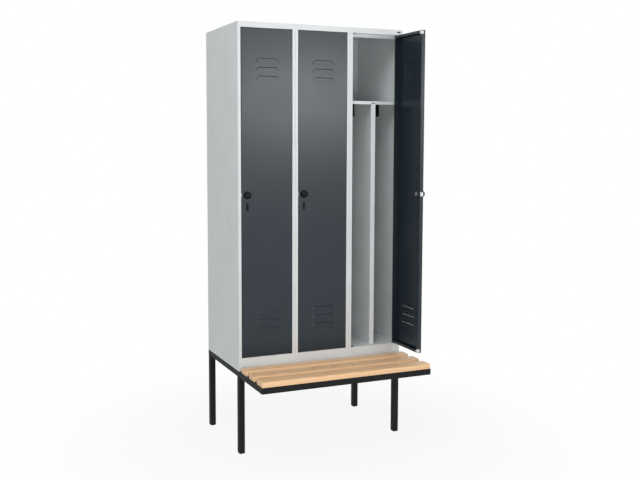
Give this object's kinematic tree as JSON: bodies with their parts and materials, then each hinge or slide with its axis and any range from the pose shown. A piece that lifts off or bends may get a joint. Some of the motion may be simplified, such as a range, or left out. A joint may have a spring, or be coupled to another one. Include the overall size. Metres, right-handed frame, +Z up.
{
  "type": "clean and dirty clothes locker",
  "caption": "Steel clothes locker on a tube base with a slatted bench in front; each compartment has a hat shelf, a divider for clean and dirty clothes, and garment rails",
  "frame": {"origin": "on the ground, under the middle of the body together with its bench", "axes": "+X to the right along the front, +Y to the back, +Z up; the doors face -Y"},
  "size_m": [0.904, 0.815, 2.12],
  "materials": {
    "body_steel": "light grey powder coat on bent sheet steel",
    "door_steel": "anthracite powder coat on bent sheet steel",
    "base_steel": "black powder coat on steel tube and bar",
    "beech": "clear varnished beech slat",
    "zinc": "zinc die casting and zinc plated steel",
    "black_plastic": "black moulded plastic",
    "white_plastic": "white moulded plastic"
  },
  "bodies": {
    "locker": {"side_panel_left": "body_steel", "side_panel_right": "body_steel", "back_panel": "body_steel", "top_panel": "body_steel", "floor_panel": "body_steel", "top_rail": "body_steel", "bottom_rail": "body_steel", "corner_stile_left": "body_steel", "centre_post_1": "body_steel", "centre_post_2": "body_steel", "corner_stile_right": "body_steel", "door_stops": "body_steel", "partition_walls": "body_steel", "hat_shelves": "body_steel", "dividers": "body_steel", "divider_edges": "body_steel", "rear_foot_angle": "body_steel", "base_side_rails": "base_steel", "bench_front_rail": "base_steel", "base_cross_rails": "base_steel", "legs": "base_steel", "garment_rails": "base_steel", "bench_slat_rear": "beech", "bench_slat_middle": "beech", "bench_slat_front": "beech", "slat_bolts": "zinc", "body_bolts": "zinc", "hinge_bushes": "black_plastic", "rail_holders": "black_plastic", "foot_plugs": "black_plastic"},
    "door_1": {"door_panel_1": "door_steel", "hinge_pins_1": "zinc", "door_buffers_1": "white_plastic", "lock_case_1": "door_steel"},
    "knob_1": {"knob_1": "black_plastic", "lock_spindle_1": "zinc"},
    "bolt_1": {"lock_bolt_1": "zinc"},
    "cover_1": {"keyhole_cover_1": "black_plastic"},
    "door_2": {"door_panel_2": "door_steel", "hinge_pins_2": "zinc", "door_buffers_2": "white_plastic", "lock_case_2": "door_steel"},
    "knob_2": {"knob_2": "black_plastic", "lock_spindle_2": "zinc"},
    "bolt_2": {"lock_bolt_2": "zinc"},
    "cover_2": {"keyhole_cover_2": "black_plastic"},
    "door_3": {"door_panel_3": "door_steel", "hinge_pins_3": "zinc", "door_buffers_3": "white_plastic", "lock_case_3": "door_steel"},
    "knob_3": {"knob_3": "black_plastic", "lock_spindle_3": "zinc"},
    "bolt_3": {"lock_bolt_3": "zinc"},
    "cover_3": {"keyhole_cover_3": "black_plastic"},
    "hook_left_1": {"coat_hook_left_1": "black_plastic"},
    "hook_right_1": {"coat_hook_right_1": "black_plastic"},
    "hook_left_2": {"coat_hook_left_2": "black_plastic"},
    "hook_right_2": {"coat_hook_right_2": "black_plastic"},
    "hook_left_3": {"coat_hook_left_3": "black_plastic"},
    "hook_right_3": {"coat_hook_right_3": "black_plastic"}
  },
  "joints": [
    {"name": "door_swing_1", "type": "hinge", "parent": "locker", "child": "door_1", "pos_m": [-0.174, -0.0865, 1.289], "axis": [0, 0, 1], "range_deg": [0, 105]},
    {"name": "knob_turn_1", "type": "hinge", "parent": "door_1", "child": "knob_1", "pos_m": [-0.403, -0.0925, 1.288], "axis": [0, -1, 0], "range_deg": [0, 90]},
    {"name": "bolt_slide_1", "type": "slide", "parent": "door_1", "child": "bolt_1", "axis": [-1, 0, 0], "range_m": [0, 0.0099]},
    {"name": "cover_swing_1", "type": "hinge", "parent": "door_1", "child": "cover_1", "pos_m": [-0.403, -0.0925, 1.245], "axis": [0, -1, 0], "range_deg": [-135, 135]},
    {"name": "door_swing_2", "type": "hinge", "parent": "locker", "child": "door_2", "pos_m": [0.126, -0.0865, 1.289], "axis": [0, 0, 1], "range_deg": [0, 105]},
    {"name": "knob_turn_2", "type": "hinge", "parent": "door_2", "child": "knob_2", "pos_m": [-0.103, -0.0925, 1.288], "axis": [0, -1, 0], "range_deg": [0, 90]},
    {"name": "bolt_slide_2", "type": "slide", "parent": "door_2", "child": "bolt_2", "axis": [-1, 0, 0], "range_m": [0, 0.0099]},
    {"name": "cover_swing_2", "type": "hinge", "parent": "door_2", "child": "cover_2", "pos_m": [-0.103, -0.0925, 1.245], "axis": [0, -1, 0], "range_deg": [-135, 135]},
    {"name": "door_swing_3", "type": "hinge", "parent": "locker", "child": "door_3", "pos_m": [0.426, -0.0865, 1.289], "axis": [0, 0, 1], "range_deg": [-90, 15]},
    {"name": "knob_turn_3", "type": "hinge", "parent": "door_3", "child": "knob_3", "pos_m": [0.432, -0.3155, 1.288], "axis": [1, 0, 0], "range_deg": [0, 90]},
    {"name": "bolt_slide_3", "type": "slide", "parent": "door_3", "child": "bolt_3", "axis": [0, -1, 0], "range_m": [0, 0.0099]},
    {"name": "cover_swing_3", "type": "hinge", "parent": "door_3", "child": "cover_3", "pos_m": [0.432, -0.3155, 1.245], "axis": [1, 0, 0], "range_deg": [-135, 135]},
    {"name": "hook_slide_left_1", "type": "slide", "parent": "locker", "child": "hook_left_1", "axis": [1, 0, 0], "range_m": [0, 0.1248]},
    {"name": "hook_slide_right_1", "type": "slide", "parent": "locker", "child": "hook_right_1", "axis": [1, 0, 0], "range_m": [0, 0.1248]},
    {"name": "hook_slide_left_2", "type": "slide", "parent": "locker", "child": "hook_left_2", "axis": [1, 0, 0], "range_m": [0, 0.1248]},
    {"name": "hook_slide_right_2", "type": "slide", "parent": "locker", "child": "hook_right_2", "axis": [1, 0, 0], "range_m": [0, 0.1248]},
    {"name": "hook_slide_left_3", "type": "slide", "parent": "locker", "child": "hook_left_3", "axis": [1, 0, 0], "range_m": [0, 0.1248]},
    {"name": "hook_slide_right_3", "type": "slide", "parent": "locker", "child": "hook_right_3", "axis": [1, 0, 0], "range_m": [0, 0.1248]}
  ],
  "couplings": [
    {"joint": "knob_turn_1", "follows": "bolt_slide_1", "rad_per_m": 158.6},
    {"joint": "knob_turn_2", "follows": "bolt_slide_2", "rad_per_m": 158.6},
    {"joint": "knob_turn_3", "follows": "bolt_slide_3", "rad_per_m": 158.6}
  ]
}
